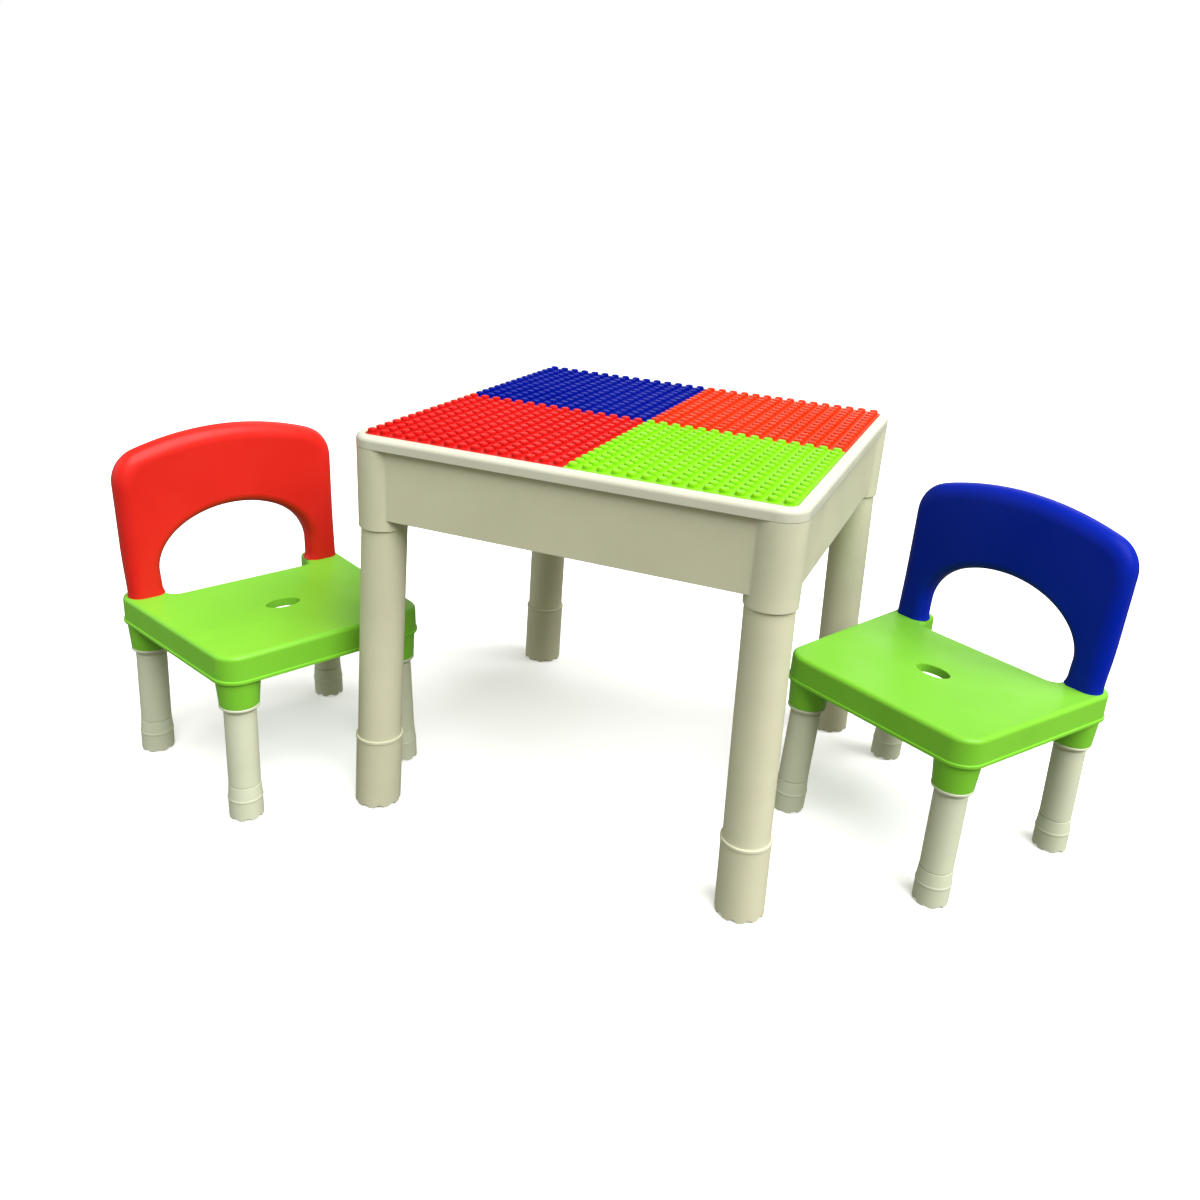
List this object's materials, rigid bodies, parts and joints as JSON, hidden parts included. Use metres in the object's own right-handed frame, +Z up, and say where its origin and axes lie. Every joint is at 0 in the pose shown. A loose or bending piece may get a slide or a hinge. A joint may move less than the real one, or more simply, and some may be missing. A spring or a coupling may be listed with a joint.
{
  "type": "kids table and chairs",
  "caption": "Square ivory children's brick table with lift-off coloured stud panels over a storage basin, and lime green chairs with arched backrests in red and deep blue.",
  "frame": {"origin": "middle of the whole set's bounding box, on the floor", "axes": "+X to the right along the table's front edge, +Y to the back of the table, +Z up"},
  "size_m": [1.1586, 0.625, 0.4708],
  "materials": {
    "ivory": "satin moulded ivory",
    "lime_seat": "satin moulded lime green",
    "red_backrest": "satin moulded red",
    "blue_backrest": "satin moulded deep blue",
    "red_panel": "glossy moulded red",
    "blue_panel": "glossy moulded blue",
    "orange_panel": "glossy moulded orange",
    "green_panel": "glossy moulded lime green",
    "glide": "soft grey"
  },
  "bodies": {
    "table": {"top_rim": "ivory", "table_body": "ivory", "cross_divider": "ivory", "leg_tube_front_left": "ivory", "leg_extension_front_left": "ivory", "leg_glide_front_left": "glide", "leg_tube_front_right": "ivory", "leg_extension_front_right": "ivory", "leg_glide_front_right": "glide", "leg_tube_back_right": "ivory", "leg_extension_back_right": "ivory", "leg_glide_back_right": "glide", "leg_tube_back_left": "ivory", "leg_extension_back_left": "ivory", "leg_glide_back_left": "glide"},
    "red_panel": {"stud_panel_red": "red_panel"},
    "green_panel": {"stud_panel_green": "green_panel"},
    "orange_panel": {"stud_panel_orange": "orange_panel"},
    "blue_panel": {"stud_panel_blue": "blue_panel"},
    "red_chair": {"red_chair_seat": "lime_seat", "red_chair_backrest": "red_backrest", "red_chair_leg_front_left": "ivory", "red_chair_foot_cap_front_left": "ivory", "red_chair_leg_front_right": "ivory", "red_chair_foot_cap_front_right": "ivory", "red_chair_leg_back_right": "ivory", "red_chair_foot_cap_back_right": "ivory", "red_chair_leg_back_left": "ivory", "red_chair_foot_cap_back_left": "ivory"},
    "blue_chair": {"blue_chair_seat": "lime_seat", "blue_chair_backrest": "blue_backrest", "blue_chair_leg_front_left": "ivory", "blue_chair_foot_cap_front_left": "ivory", "blue_chair_leg_front_right": "ivory", "blue_chair_foot_cap_front_right": "ivory", "blue_chair_leg_back_right": "ivory", "blue_chair_foot_cap_back_right": "ivory", "blue_chair_leg_back_left": "ivory", "blue_chair_foot_cap_back_left": "ivory"}
  },
  "joints": [
    {"name": "red_panel_lift", "type": "slide", "parent": "table", "child": "red_panel", "axis": [0, 0, 1], "range_m": [0, 0.1]},
    {"name": "green_panel_lift", "type": "slide", "parent": "table", "child": "green_panel", "axis": [0, 0, 1], "range_m": [0, 0.1]},
    {"name": "orange_panel_lift", "type": "slide", "parent": "table", "child": "orange_panel", "axis": [0, 0, 1], "range_m": [0, 0.1]},
    {"name": "blue_panel_lift", "type": "slide", "parent": "table", "child": "blue_panel", "axis": [0, 0, 1], "range_m": [0, 0.1]},
    {"name": "red_chair_pull_back", "type": "slide", "parent": "table", "child": "red_chair", "axis": [-0.9178, 0.3971, 0], "range_m": [0, 0.3]},
    {"name": "blue_chair_pull_back", "type": "slide", "parent": "table", "child": "blue_chair", "axis": [0.497, 0.8678, 0], "range_m": [0, 0.3]}
  ]
}
